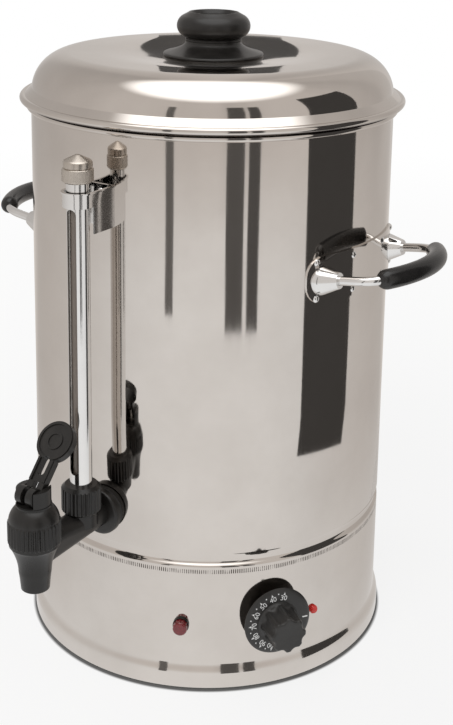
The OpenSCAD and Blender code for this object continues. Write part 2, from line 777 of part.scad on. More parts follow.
// The grip is a sleeve on the rod's bow: an outer skin with rounded ends round an inner one
module handle_grip(az) {
  sides = 16;
  bow = [for (p = rod_half(0)) if (p[2] <= bow_half) p];
  last = len(bow) - 1;
  line = both_ways(bow);
  count = len(line);
  round_off = [0.62, 0.9];   // share of the radius left at the end and at the station before it
  outer = [for (i = [0:count - 1]) let (from_end = min(i, count - 1 - i))
    grip_r * (from_end < 2 ? round_off[from_end] : 1)];
  inner = [for (p = line) rod_r + 0.15];
  start = count * sides;
  faces = concat(
    bar_sides(count, sides), [for (f = bar_sides(count, sides, start)) [f[3], f[2], f[1], f[0]]],
    [for (k = [0:sides - 1]) let (j = (k + 1) % sides) [k, j, start + j, start + k]],
    [for (k = [0:sides - 1]) let (j = (k + 1) % sides, e = (count - 1) * sides)
      [e + j, e + k, start + e + k, start + e + j]]);
  color("dimgray") rod_frame(az)
    polyhedron(points = concat(bar_skin(line, outer, sides), bar_skin(line, inner, sides)),
      faces = faces, convexity = 6);
}

module handle_rivets(az) {
  color("silver") rivet_places(az) {
    translate([0, 0, -2]) cylinder(r = rivet_r, h = 4, $fn = 24);
    translate([0, 0, handle_plate_t + 0.1]) dome(rivet_head_r, 1.2);
    translate([0, 0, -2.1]) cylinder(r = rivet_head_r, h = 0.9, $fn = 24);
  }
}

// ---- Controls ----

module thermostat_knob() {
  scallop_r = 5;
  color("dimgray") on_wall(dial_az, dial_z) translate([0, 0, dial_gap]) difference() {
    union() {
      rotate_extrude($fn = 96) polygon([[0, 0], [dial_d / 2 - 1.2, 0], [dial_d / 2, 0.9], [dial_d / 2, 1.6],
        [dial_d / 2 - 2, dial_t], [0, dial_t]]);
      rotate_extrude($fn = 96) polygon(concat(
        [[0, dial_t - 1], [barrel_r + 1.2, dial_t - 1], [barrel_r + 1, dial_t + 1], [barrel_r, dial_t + 2]],
        arc(barrel_top_r - 2, barrel_h + dial_t - 2, 2, 0, 90, 4), [[0, barrel_h + dial_t]]));
      translate([0, 0, -3]) cylinder(r = 7, h = 4);
    }
    for (k = [0:7]) rotate([0, 0, 45 * k + 22.5]) translate([barrel_r + 3, 0, dial_t + 2.4])
      cylinder(r = scallop_r, h = 30);
    translate([0, 0, -4]) cylinder(r = shaft_r + seat, h = 16);
    translate([0, 0, barrel_h + dial_t - 0.8]) ring(7.6, 8.4, 2);
  }
}

module thermostat_shaft() {
  color("silver") on_wall(dial_az, dial_z) difference() {
    translate([0, 0, -14]) cylinder(r = shaft_r, h = 31);
    translate([shaft_r - 1, -5, 8]) cube([4, 10, 12]);
  }
}

module thermostat_body() {
  color("tan") on_wall(dial_az, dial_z) difference() {
    union() {
      translate([0, 0, -4.5]) cylinder(r = 5, h = 6.5);
      translate([-20, -9, -5.5]) cube([40, 18, 1.2]);
      translate([-17, -15, -31]) cube([34, 30, 25.5]);
      for (x = [-10, 0, 10]) translate([x - 2.4, -0.4, -39]) cube([4.8, 0.8, 9]);
    }
    translate([0, 0, -15]) cylinder(r = shaft_r + seat, h = 20);
    for (x = [-14, 14]) translate([x, 0, -8]) cylinder(r = 1.55, h = 6);
  }
}

module thermostat_screws() {
  color("silver") on_wall(dial_az, dial_z) for (x = [-14, 14]) translate([x, 0, 0]) {
    translate([0, 0, -7]) cylinder(r = 1.5, h = 8);
    translate([0, 0, 0.1]) dome(2.9, 1.7);
  }
}

// Sensing bulb clipped under the tank's floor, with its capillary run down to the thermostat
module thermostat_bulb() {
  x = 88;
  y = -14;
  color("peru") {
    translate([x, y + 5, bottom_z - 3.3]) rotate([-90, 0, 0]) cylinder(r = 3, h = 44);
    translate([x, y, bottom_z - 3.3]) rotate([-90, 0, 0]) cylinder(r = 0.9, h = 6);
    translate([x - 6, y, bottom_z - 3.3]) rotate([0, 0, -90]) rotate_extrude(angle = 90)
      translate([6, 0]) circle(r = 0.9, $fn = 24);
    translate([x - 6, y - 6, bottom_z - 3.3]) rotate([0, -90, 0]) cylinder(r = 0.9, h = 3);
  }
}

module pilot_lens() {
  ribs = 12;
  color("darkred") on_wall(lamp_az, lamp_z) difference() {
    translate([0, 0, 1.7]) intersection() {
      fluted(lens_r, 0.3, ribs, 6);
      rotate_extrude() polygon(concat([[0, 0], [lens_r, 0], [lens_r, 3.4]],
        arc(lens_r - 1.7, 3.4, 1.7, 0, 90, 4), [[0, 5.1]]));
    }
    translate([0, 0, 1]) cylinder(r = 3, h = 3.6);
  }
}

module pilot_lamp_body() {
  color("dimgray") on_wall(lamp_az, lamp_z) {
    translate([0, 0, 0.2]) cylinder(r = 5.4, h = 1.4);
    translate([0, 0, -22]) cylinder(r = 4, h = 22.3);
    translate([0, 0, 1]) cylinder(r = 2.6, h = 3);
    for (x = [-1.6, 1.6]) translate([x - 0.4, -1.4, -29]) cube([0.8, 2.8, 8]);
  }
}

module index_plug() {
  color("red") on_wall(index_az, index_z) {
    translate([0, 0, -3]) cylinder(r = 2, h = 4);
    translate([0, 0, 0.1]) rotate_extrude() polygon([[0, 0], [2.95, 0], [2.95, 1.4], [2.3, 2.4], [0, 2.7]]);
  }
}

// ---- Heating ----

module heat_plate() {
  color("lightgray") translate([0, 0, bottom_z - heat_plate_t - seat]) difference() {
    cylinder(r = heat_plate_r, h = heat_plate_t, $fn = 96);
    for (k = [0:2]) rotate([0, 0, 120 * k]) translate([heat_plate_r - 8, 0, -1]) cylinder(r = 2.2, h = 2.6);
  }
}

module heating_element() {
  z = bottom_z - heat_plate_t - element_tube_r - 2 * seat;
  gap = 16;
  color("gray") {
    translate([0, 0, z]) rotate([0, 0, 90 + gap / 2]) rotate_extrude(angle = 360 - gap, $fn = 96)
      translate([element_r, 0]) circle(r = element_tube_r, $fn = 64);
    for (s = [-1, 1]) rotate([0, 0, s * gap / 2]) translate([0, element_r, z]) {
      translate([0, 0, -14]) cylinder(r = 3, h = 16);
      translate([0, 0, -19]) cylinder(r = 1.4, h = 6);
    }
  }
}

module element_clamp() {
  z = bottom_z - heat_plate_t - 2 * element_tube_r - 3 * seat;
  color("silver") difference() {
    translate([-66, -11, z - 2]) cube([132, 22, 2]);
    cylinder_from(tie_r + 0.2, z - 4, z + 1);
  }
}

module thermal_cutout() {
  color("sienna") translate([0, 30, 0]) {
    cylinder_from(8, bottom_z - heat_plate_t - 9, bottom_z - heat_plate_t - 2 * seat);
    for (x = [-5, 5]) translate([x - 0.4, -2.4, bottom_z - heat_plate_t - 17]) cube([0.8, 4.8, 9]);
  }
}

module terminal_block() {
  color("ivory") translate([0, 88, plate_z + 1.25]) difference() {
    translate([-20, -8, 0]) cube([40, 16, 13]);
    for (x = [-7, 7]) translate([x, -20, 7]) rotate([-90, 0, 0]) cylinder(r = 2, h = 40);
    for (x = [-7, 7]) translate([x, 0, 7]) cylinder(r = 2, h = 10);
    for (x = [-14, 14]) translate([x, 0, -1]) cylinder(r = 1.6, h = 16);
  }
}

module earth_stud() {
  color("gold") translate([30, 88, 0]) {
    cylinder_from(2, plate_z - 2, plate_z + 12);
    translate([0, 0, plate_z - 2.2]) cylinder(r = 3.6, h = 2.15);
    translate([0, 0, plate_z + 1.25]) hex(7, 3);
  }
}

module cord_gland() {
  color("dimgray") on_wall(180, gland_z) difference() {
    union() {
      translate([0, 0, -8]) cylinder(r = 6.5, h = 9);
      translate([0, 0, 0.4]) rotate_extrude()
        polygon([[0, 0], [11, 0], [11, 1.6], [8.5, 3.6], [7, 9], [0, 9]]);
      translate([0, 0, -6]) ring(5, 9.5, 3);
    }
    translate([0, 0, -10]) cylinder(r = gland_bore_r, h = 24);
    translate([0, 0, -10]) cylinder(r = gland_bore_r + gland_step, h = gland_neck + 10);
  }
}

tank_shell();
tank_bottom();
base_skirt();
base_plate();
rubber_feet();
foot_screws();
foot_nuts();
tie_rod();
tie_nuts();
lid();
lid_knob();
lid_knob_screw();
lid_knob_washer();
tap_body();
tap_bonnet();
tap_outer_washer();
tap_inner_washer();
tap_shank_nut();
tap_stem();
tap_seat_cup();
tap_spring();
tap_lever();
tap_lever_pin();
gauge_nut();
gauge_lower_seal();
gauge_glass();
gauge_shield();
gauge_upper_seal();
gauge_cap();
gauge_bracket();
gauge_bracket_screws();
handle_plate(90);  // handle_plate_right
handle_bosses(90);  // handle_bosses_right
handle_rod(90);  // handle_rod_right
handle_grip(90);  // handle_grip_right
handle_rivets(90);  // handle_rivets_right
handle_plate(270);  // handle_plate_left
handle_bosses(270);  // handle_bosses_left
handle_rod(270);  // handle_rod_left
handle_grip(270);  // handle_grip_left
handle_rivets(270);  // handle_rivets_left
thermostat_knob();
thermostat_shaft();
thermostat_body();
thermostat_screws();
thermostat_bulb();
pilot_lens();
pilot_lamp_body();
index_plug();
heat_plate();
heating_element();
element_clamp();
thermal_cutout();
terminal_block();
earth_stud();
cord_gland();
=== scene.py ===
import json
import math
import bpy
import numpy as np
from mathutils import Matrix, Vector


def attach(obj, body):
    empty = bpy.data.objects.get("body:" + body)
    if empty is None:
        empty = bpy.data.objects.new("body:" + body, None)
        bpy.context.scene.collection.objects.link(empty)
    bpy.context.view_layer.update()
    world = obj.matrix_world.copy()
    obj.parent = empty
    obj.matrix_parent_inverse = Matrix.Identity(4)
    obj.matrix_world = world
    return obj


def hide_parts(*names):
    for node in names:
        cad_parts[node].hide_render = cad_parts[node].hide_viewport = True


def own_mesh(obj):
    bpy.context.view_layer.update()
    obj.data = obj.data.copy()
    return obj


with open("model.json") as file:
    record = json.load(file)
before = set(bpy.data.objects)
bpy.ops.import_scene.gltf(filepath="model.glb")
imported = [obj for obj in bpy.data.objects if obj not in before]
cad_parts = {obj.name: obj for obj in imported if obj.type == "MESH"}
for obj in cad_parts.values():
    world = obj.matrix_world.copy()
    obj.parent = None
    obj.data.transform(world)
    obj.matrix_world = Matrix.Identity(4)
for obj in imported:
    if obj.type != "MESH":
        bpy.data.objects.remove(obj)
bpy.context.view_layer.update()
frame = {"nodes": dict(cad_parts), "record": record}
bodies = frame["record"]["behaviour"]["bodies"]
nodeBody = {node: body for body, nodes in bodies.items() for node in nodes}
mm = 0.001
pole = 0.02          # radius in millimetres at which a turned outline stops short of its axis
roundSteps = 256     # faces round the large turned pieces

# The tank's axis is the Z axis, and the tap faces -Y. A bearing is an angle from -Y towards +X,
# in degrees. Outlines are in millimetres, and the scene is in metres.


# Hermite step: 0 below 0, 1 above 1, 3t^2 - 2t^3 between
def smoothStep(t):
    t = np.clip(t, 0.0, 1.0)
    return t * t * (3 - 2 * t)


# Steeper step with flat ends: 0 below 0, 1 above 1, 6t^5 - 15t^4 + 10t^3 between
def steepStep(t):
    t = np.clip(t, 0.0, 1.0)
    return t ** 3 * (t * (6 * t - 15) + 10)


# Points of a circle about (cx, cy), from angle a0 to a1 in degrees
def arcPoints(cx, cy, radius, a0, a1, count):
    angle = np.radians(np.linspace(a0, a1, count))
    return np.column_stack([cx + radius * np.cos(angle), cy + radius * np.sin(angle)])


# Makes an object from vertex and face arrays, shaded smooth but for edges sharper than the limit
def meshObject(name, verts, faces, material, sharpDegrees=38):
    mesh = bpy.data.meshes.new(name)
    mesh.from_pydata(verts.reshape(-1, 3).tolist(), [], faces)
    mesh.validate()
    mesh.shade_smooth()
    mesh.set_sharp_from_angle(angle=math.radians(sharpDegrees))
    mesh.materials.append(material)
    obj = bpy.data.objects.new(name, mesh)
    bpy.context.scene.collection.objects.link(obj)
    return obj


# Quads of a grid of rows x columns, with either direction closed on itself
def gridFaces(rows, columns, closeRows, closeColumns):
    i = np.arange(rows if closeRows else rows - 1)
    j = np.arange(columns if closeColumns else columns - 1)
    a, b = np.meshgrid(i, j, indexing="ij")
    a2, b2 = (a + 1) % rows, (b + 1) % columns
    quads = np.stack([a * columns + b, a * columns + b2, a2 * columns + b2, a2 * columns + b], -1)
    return quads.reshape(-1, 4).tolist()


# Points (r, z) turned about the Z axis, with the radius put through a wave of (r, angle, z)
def turned(outline, steps, wave=None):
    outline = np.asarray(outline, float)
    angle = 2 * np.pi * np.arange(steps) / steps
    r, a = np.meshgrid(outline[:, 0], angle, indexing="ij")
    z = np.repeat(outline[:, 1][:, None], steps, 1)
    if wave is not None:
        r = wave(r, a, z)
    return np.stack([r * np.cos(a), r * np.sin(a), z], -1)


# Surface of revolution: (r, z) in millimetres turned about the Z axis moved to (x, y).
# The outline runs anticlockwise, outer side upward, so that faces point outwards.
def revolve(name, outline, material, steps, centre=(0.0, 0.0), closed=True, sharpDegrees=38, wave=None):
    verts = (turned(outline, steps, wave) + [*centre, 0.0]) * mm
    return meshObject(name, verts, gridFaces(len(outline), steps, closed, True), material, sharpDegrees)


# Tube of the given radii (millimetres) carried along a bent path of points, with capped ends
def sweepTube(name, path, radii, material, sides=32, sharpDegrees=50):
    radii = np.broadcast_to(np.asarray(radii, float), (len(path),))
    tangent = np.gradient(path, axis=0)
    tangent /= np.linalg.norm(tangent, axis=1, keepdims=True)
    up = np.cross(tangent[0], tangent[len(path) // 2])
    up /= np.linalg.norm(up)
    side = np.cross(tangent, up)
    side /= np.linalg.norm(side, axis=1, keepdims=True)
    top = np.cross(side, tangent)
    turn = 2 * np.pi * np.arange(sides) / sides
    ring = side[:, None, :] * np.cos(turn)[None, :, None] + top[:, None, :] * np.sin(turn)[None, :, None]
    verts = (path[:, None, :] + ring * radii[:, None, None]) * mm
    faces = gridFaces(len(path), sides, False, True)
    faces.append(list(range(sides))[::-1])
    faces.append([(len(path) - 1) * sides + k for k in range(sides)])
    return meshObject(name, verts, faces, material, sharpDegrees)


# A copy of a CAD node with points in one cell of the merge step joined, shaded smooth across
# edges below the limit
def smoothCopy(node, material, sharpDegrees=32, mergeStep=2e-6):
    source = frame["nodes"][node].data
    co = np.zeros(len(source.vertices) * 3, np.float32)
    source.vertices.foreach_get("co", co)
    co = co.reshape(-1, 3)
    cells = np.round(co / mergeStep).astype(np.int64)
    first, inverse = np.unique(cells, axis=0, return_index=True, return_inverse=True)[1:]
    source.calc_loop_triangles()
    tri = np.zeros(len(source.loop_triangles) * 3, np.int32)
    source.loop_triangles.foreach_get("vertices", tri)
    tri = inverse.reshape(-1)[tri].reshape(-1, 3)
    keep = (tri[:, 0] != tri[:, 1]) & (tri[:, 1] != tri[:, 2]) & (tri[:, 0] != tri[:, 2])
    obj = meshObject(node + "_skin", co[first], tri[keep].tolist(), material, sharpDegrees)
    dress(obj, node)
    return obj


# Puts a made piece on its node's body, in place of the node
def dress(obj, node):
    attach(obj, nodeBody[node])
    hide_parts(node)


# Short handle on a material's node tree
class Nodes:
    def __init__(self, name):
        self.material = bpy.data.materials.new(name)
        self.material.use_nodes = True
        self.tree = self.material.node_tree
        self.shader = self.tree.nodes["Principled BSDF"]
        self.coords = self.tree.nodes.new("ShaderNodeTexCoord").outputs["Object"]

    def add(self, kind, inputs=None, **settings):
        node = self.tree.nodes.new(kind)
        for key, value in settings.items():
            setattr(node, key, value)
        for key, value in (inputs or {}).items():
            self.feed(node.inputs[key], value)
        return node

    def feed(self, socket, value):
        if isinstance(value, bpy.types.NodeSocket):
            self.tree.links.new(value, socket)
        else:
            socket.default_value = value

    def math(self, operation, a, b=0.0):
        return self.add("ShaderNodeMath", {0: a, 1: b}, operation=operation).outputs[0]

    # Noise at a number of cells per metre, stretched by the given factors along each axis
    def noise(self, scale, detail=3.0, roughness=0.55, stretch=(1, 1, 1)):
        placed = self.add("ShaderNodeMapping", {"Vector": self.coords, "Scale": stretch})
        node = self.add("ShaderNodeTexNoise", {"Vector": placed.outputs[0], "Scale": scale,
                                               "Detail": detail, "Roughness": roughness})
        return node.outputs["Fac"]

    # Remap of a value between two ranges, clamped: straight, or eased as smoothStep is
    def remap(self, value, fromLow, fromHigh, toLow, toHigh, easing="LINEAR"):
        ends = {"From Min": fromLow, "From Max": fromHigh, "To Min": toLow, "To Max": toHigh}
        node = self.add("ShaderNodeMapRange", {"Value": value, **ends}, interpolation_type=easing)
        return node.outputs[0]

    # Mix of two colours, each a fixed one or a socket
    def blend(self, fac, a, b):
        node = self.add("ShaderNodeMix", data_type="RGBA")
        self.feed(node.inputs["Factor"], fac)
        self.feed(node.inputs[6], a if isinstance(a, bpy.types.NodeSocket) else (*a, 1.0))
        self.feed(node.inputs[7], b if isinstance(b, bpy.types.NodeSocket) else (*b, 1.0))
        return node.outputs[2]

    # Colour ramp through stops of (place from 0 to 1, colour)
    def ramp(self, value, stops):
        node = self.add("ShaderNodeValToRGB", {"Fac": value})
        node.color_ramp.interpolation = "EASE"
        kept = node.color_ramp.elements
        for stop, (place, colour) in zip((kept[0], kept[1]), (stops[0], stops[-1])):
            stop.position, stop.color = place, (*colour, 1.0)
        for place, colour in stops[1:-1]:
            kept.new(place).color = (*colour, 1.0)
        return node.outputs["Color"]

    # Object X, Y and Z of the shaded point
    def axes(self):
        split = self.add("ShaderNodeSeparateXYZ", {0: self.coords})
        return tuple(split.outputs[i] for i in range(3))

    # Bearing of the shaded point about the tank's axis, as turns from 0 to 1, with -Y at 0.5
    def bearing(self):
        x, y = self.axes()[:2]
        angle = self.math("ARCTAN2", x, self.math("MULTIPLY", y, -1.0))
        return self.math("ADD", self.math("DIVIDE", angle, 2 * math.pi), 0.5)

    # Distance of the shaded point from the tank's axis
    def reach(self):
        x, y = self.axes()[:2]
        return self.math("SQRT", self.math("ADD", self.math("MULTIPLY", x, x), self.math("MULTIPLY", y, y)))

    # Bare light of a colour and strength, in place of the surface shader
    def glow(self, colour, strength=1.0):
        node = self.add("ShaderNodeEmission", {"Color": colour, "Strength": strength})
        self.tree.links.new(node.outputs[0], self.tree.nodes["Material Output"].inputs["Surface"])
        return node.outputs[0]

    def bump(self, height, strength, distance, normal=None):
        inputs = {"Height": height, "Strength": strength, "Distance": distance}
        if normal is not None:
            inputs["Normal"] = normal
        return self.add("ShaderNodeBump", inputs).outputs[0]

    def set(self, **inputs):
        for key, value in inputs.items():
            self.feed(self.shader.inputs[key.replace("_", " ")], value)
        return self.material


# Main colour of each finish, and the one that it drifts or rubs to
finish = {
    "steel": ((0.66, 0.615, 0.575), (0.60, 0.555, 0.515)),
    "chrome": ((0.80, 0.79, 0.775), (0.74, 0.73, 0.72)),
    "glass": ((0.34, 0.285, 0.24), (0.27, 0.225, 0.19)),
    "lensRed": ((0.30, 0.008, 0.014), (0.16, 0.004, 0.008)),
    "black": ((0.013, 0.0117, 0.0105), (0.026, 0.0235, 0.021)),
    "grip": ((0.012, 0.0112, 0.011), (0.024, 0.022, 0.021)),
    "dial": ((0.026, 0.0245, 0.023), (0.036, 0.034, 0.032)),
    "rubber": ((0.020, 0.019, 0.018), (0.05, 0.05, 0.05)),
    "silicone": ((0.78, 0.77, 0.73), (0.7, 0.69, 0.65)),
    "plugRed": ((0.72, 0.03, 0.02), (0.62, 0.02, 0.016)),
    "ceramic": ((0.78, 0.73, 0.62), (0.68, 0.63, 0.53)),
    "phenolic": ((0.10, 0.045, 0.02), (0.14, 0.07, 0.04)),
    "numbers": ((0.95, 0.95, 0.94), (0.85, 0.85, 0.84)),
}
metal = {
    "satin": (0.60, 0.59, 0.57), "nickel": (0.60, 0.545, 0.485), "zinc": (0.62, 0.62, 0.60),
    "aluminium": (0.66, 0.66, 0.65), "element": (0.30, 0.26, 0.23), "copper": (0.72, 0.42, 0.28),
    "brass": (0.78, 0.60, 0.26),
}

# Noise scales in cells per metre, depths in metres
polish = {"haze": 14, "hairline": 900, "wander": 9, "rough": (0.035, 0.075), "hairRough": 0.02,
          "wanderDeep": 0.0012, "hairDeep": 0.0001}
weldTicks = {"count": 561, "z": 85.6, "tall": 3.2, "tint": (0.05, 0.038, 0.03), "rough": 0.22,
             "strength": 0.6, "deep": 0.0004, "uneven": 160}
beadShade = {"beyond": 124.5, "below": 378.6, "fadeIn": 1.0, "fadeUp": 0.7, "tint": (0.02, 0.018, 0.016)}


# Mirror-polished sheet: faint wander in the sheet, hairline polish and a little handling haze.
# Ticks are a sine round the tank within a low band. A shade darkens what lies out and down.
def makeSteel(name, wander=0.5, ticks=None, shade=None):
    m = Nodes(name)
    haze = m.noise(polish["haze"], 4, 0.6)
    hairline = m.noise(polish["hairline"], 2, 0.5, (1, 1, 0.02))
    colour = m.blend(m.remap(haze, 0.35, 0.7, 0, 1), *finish["steel"])
    hairRough = m.remap(hairline, 0.4, 0.7, 0.0, polish["hairRough"])
    rough = m.math("ADD", m.remap(haze, 0.3, 0.75, *polish["rough"]), hairRough)
    normal = m.bump(m.noise(polish["wander"], 1.5, 0.4, (1, 1, 0.45)), wander, polish["wanderDeep"])
    normal = m.bump(hairline, 0.02, polish["hairDeep"], normal)
    x, y, z = m.axes()
    if ticks:
        wave = m.math("SINE", m.math("MULTIPLY", m.math("ARCTAN2", y, x), ticks["count"]))
        off = m.math("ABSOLUTE", m.math("SUBTRACT", z, ticks["z"] * mm))
        band = m.remap(off, ticks["tall"] * mm * 0.35, ticks["tall"] * mm * 0.5, 1, 0)
        uneven = m.remap(m.noise(ticks["uneven"], 2, 0.5), 0.36, 0.56, 0.3, 1.0)
        mark = m.math("MULTIPLY", m.math("MULTIPLY", m.remap(wave, 0.0, 0.6, 0, 1), band), uneven)
        colour = m.blend(mark, colour, ticks["tint"])
        rough = m.math("ADD", rough, m.math("MULTIPLY", mark, ticks["rough"]))
        normal = m.bump(mark, ticks["strength"], ticks["deep"], normal)
    if shade:
        down = m.remap(z, shade["below"] * mm, (shade["below"] + shade["fadeUp"]) * mm, 1, 0)
        out = m.remap(m.reach(), shade["beyond"] * mm, (shade["beyond"] + shade["fadeIn"]) * mm, 0, 1)
        colour = m.blend(m.math("MULTIPLY", down, out), colour, shade["tint"])
    return m.set(Base_Color=colour, Metallic=1.0, Roughness=rough, Normal=normal)


# Bright plating over a slightly uneven casting
def makeChrome(name):
    m = Nodes(name)
    haze = m.noise(60, 3)
    uneven = m.bump(m.noise(420, 2), 0.03, 0.0002)
    return m.set(Base_Color=m.blend(haze, *finish["chrome"]), Metallic=1.0,
                 Roughness=m.remap(haze, 0.3, 0.7, 0.05, 0.12), Normal=uneven)


# Brushed or plated metal: a fine grain that darkens the tint by up to 18%
def makeSatin(name, tint, rough=(0.28, 0.42)):
    m = Nodes(name)
    grain = m.noise(500, 3, 0.6, (1, 1, 0.08))
    colour = m.blend(grain, tint, tuple(0.82 * c for c in tint))
    return m.set(Base_Color=colour, Metallic=1.0, Roughness=m.remap(grain, 0.3, 0.7, *rough),
                 Normal=m.bump(grain, 0.08, 0.0002))


# Moulded plastic: fine spark-eroded grain, with paler rubbed patches
def makePlastic(name, tint, worn, rough=(0.26, 0.38), grain=0.10, shine=0.5):
    m = Nodes(name)
    patches = m.noise(38, 4, 0.6)
    colour = m.blend(m.remap(patches, 0.45, 0.75, 0, 1), tint, worn)
    return m.set(Base_Color=colour, Roughness=m.remap(patches, 0.3, 0.7, *rough),
                 Specular_IOR_Level=shine, Normal=m.bump(m.noise(1500, 2, 0.5), grain, 0.0002))


# Gauge tube: brownish, nearly half clear, with smoother and rougher patches
def makeGlass(name):
    m = Nodes(name)
    wet = m.noise(40, 2)
    return m.set(Base_Color=m.blend(wet, *finish["glass"]), Roughness=m.remap(wet, 0.3, 0.7, 0.0, 0.04),
                 IOR=1.47, Transmission_Weight=0.45)


# Deep red, faintly clouded plastic under a clear coat
def makeLens(name):
    m = Nodes(name)
    cloud = m.noise(300, 2)
    rough = m.remap(cloud, 0.3, 0.7, 0.12, 0.2)
    return m.set(Base_Color=m.blend(cloud, *finish["lensRed"]), Roughness=rough,
                 Transmission_Weight=0.25, Coat_Weight=0.6, IOR=1.5)


steel = makeSteel("tankSteel")
skirtSteel = makeSteel("skirtSteel", ticks=weldTicks)
lidSteel = makeSteel("lidSteel", wander=0.25, shade=beadShade)
chrome = makeChrome("chromeTrim")
satin = makeSatin("satinSteel", metal["satin"])
capNickel = makeSatin("capNickel", metal["nickel"], (0.22, 0.34))
zinc = makeSatin("zincPlate", metal["zinc"], (0.35, 0.5))
castAluminium = makeSatin("castAluminium", metal["aluminium"], (0.45, 0.6))
elementSteel = makeSatin("elementSteel", metal["element"], (0.4, 0.55))
copper = makeSatin("capillaryCopper", metal["copper"], (0.25, 0.4))
brass = makeSatin("brassStud", metal["brass"], (0.25, 0.4))
black = makePlastic("blackMoulding", *finish["black"], shine=0.42)
gripBlack = makePlastic("gripSleeve", *finish["grip"], (0.16, 0.27), grain=0.05, shine=0.45)
dialBlack = makePlastic("dialMoulding", *finish["dial"], (0.30, 0.42), shine=0.45)
rubber = makePlastic("rubberPart", *finish["rubber"], (0.6, 0.75), grain=0.2)
silicone = makePlastic("siliconeCup", *finish["silicone"], (0.45, 0.6))
plugRed = makePlastic("indexRed", *finish["plugRed"], (0.2, 0.3), grain=0.05)
ceramic = makePlastic("ceramicBlock", *finish["ceramic"], (0.55, 0.7), grain=0.3)
phenolic = makePlastic("phenolicBody", *finish["phenolic"], (0.4, 0.55), grain=0.15)
numberPaint = makePlastic("numberPaint", *finish["numbers"], (0.4, 0.55))
glass = makeGlass("gaugeGlass")
lens = makeLens("pilotLens")
print("materials made")


# The bead is an arc in degrees, from the outer wall round under, out and over to the inner wall
tank = {"radius": 125.0, "sheet": 1.0, "seamZ": 92.5, "grooveIn": 1.2, "groovePower": 2.6,
        "grooveTop": 98.6, "ringStep": 90, "rimZ": 377.5,
        "beadRadius": 2.2, "beadFrom": 236.9, "beadTo": 540}
skirt = {"radius": tank["radius"], "sheet": tank["sheet"], "seamZ": tank["seamZ"], "tuckIn": 2.4,
         "grooveLow": 88.2, "footRadius": 128.0, "footZ": 10.0, "flareTop": 20.0, "low": 1.8, "edge": 0.3}


# Straight wall, eased by a power curve into the groove below and rolled into a bead of circular
# section above
def tankOutline(d):
    z = np.linspace(d["seamZ"] + 0.05, d["grooveTop"], 22)
    up = (z - d["seamZ"]) / (d["grooveTop"] - d["seamZ"])
    r = d["radius"] - d["grooveIn"] * (1 - up ** d["groovePower"])
    wall = [[d["radius"], z[-1] + d["ringStep"] * k] for k in (1, 2, 3)]
    beadX, beadZ = d["radius"] - d["sheet"] + d["beadRadius"], d["rimZ"] - d["beadRadius"]
    rim = arcPoints(beadX, beadZ, d["beadRadius"], d["beadFrom"], d["beadTo"], 28)
    innerWall = np.column_stack([r[::-1] - d["sheet"], z[::-1]])
    return np.vstack([np.column_stack([r, z]), wall, rim, innerWall])


# Straight wall with its top edge tucked in by a steep step, and an S-shaped flare to the foot
def skirtOutline(d):
    z = np.linspace(d["footZ"] - 1, d["flareTop"], 14)
    flare = 1 - smoothStep((z - d["footZ"]) / (d["flareTop"] - d["footZ"]))
    r = d["radius"] + (d["footRadius"] - d["radius"]) * flare
    zTop = np.linspace(d["grooveLow"], d["seamZ"], 26)
    rTop = d["radius"] - d["tuckIn"] * steepStep((zTop - zTop[0]) / (zTop[-1] - zTop[0]))
    foot = [[d["footRadius"] - d["edge"], d["low"]], [d["footRadius"], d["low"] + d["edge"]]]
    outer = np.vstack([foot, np.column_stack([r, z]), np.column_stack([rTop, zTop])])
    return np.vstack([outer, outer[::-1] - [d["sheet"], 0]])


dress(revolve("tankSkin", tankOutline(tank), steel, roundSteps), "tank_shell")
dress(revolve("skirtSkin", skirtOutline(skirt), skirtSteel, roundSteps), "base_skirt")

# locateTop is measured up from the lid's z, and locateDeep down from it
lidShape = {"z": 378.0, "top": 410.9, "dish": 2.6, "dishRadius": 36.0, "crest": 81.0, "shoulder": 26.2,
            "wallRadius": 124.6, "beadRadius": 2.5, "beadOuter": 132.8, "beadFrom": 112, "beadTo": -200,
            "sheet": 1.0, "locateRadius": 122.4, "locateTop": 9.2, "locateDeep": 10.0}


# Dished middle eased up to the crest, quarter-round shoulder, cone out to a rolled bead,
# and a locating skirt inside
def lidOutline(d):
    r = np.linspace(pole, d["crest"], 30)
    dish = d["dish"] * (1 - smoothStep((r - d["dishRadius"]) / (d["crest"] - d["dishRadius"])))
    middle = np.column_stack([r, d["top"] - dish])
    shoulderX, shoulderZ = d["wallRadius"] - d["shoulder"], d["top"] - d["shoulder"]
    outerArc = arcPoints(shoulderX, shoulderZ, d["shoulder"], 90, 6, 26)
    innerArc = arcPoints(shoulderX, shoulderZ, d["shoulder"] - d["sheet"], 12, 90, 16)
    beadX, beadZ = d["beadOuter"] - d["beadRadius"], d["z"] + d["beadRadius"]
    bead = arcPoints(beadX, beadZ, d["beadRadius"], d["beadFrom"], d["beadTo"], 26)
    topZ, lowZ = d["z"] + d["locateTop"], d["z"] - d["locateDeep"]
    locate, locateInside = d["locateRadius"], d["locateRadius"] - d["sheet"]
    drop = [[d["wallRadius"] - d["sheet"], topZ], [locate, topZ], [locate, lowZ],
            [locateInside, lowZ], [locateInside, topZ + d["sheet"]]]
    down = np.vstack([middle, outerArc, bead, drop, innerArc, middle[::-1] - [0, d["sheet"]]])
    return down[::-1]


dress(revolve("lidSkin", lidOutline(lidShape), lidSteel, roundSteps), "lid")

knob = {"z": 408.35, "skirt": 34.0, "skirtZ": 1.8, "flarePower": 2.2, "neck": 19.3, "neckZ": 9.6,
        "grooves": (0.5, 1.8), "grooveDeep": 0.7, "bulb": 25.3, "bulbZ": 20.2, "height": 29.6,
        "lip": 1.2, "lipRadius": 16.6, "dish": 14.2, "dishDeep": 4.2, "dishRise": 1.6}


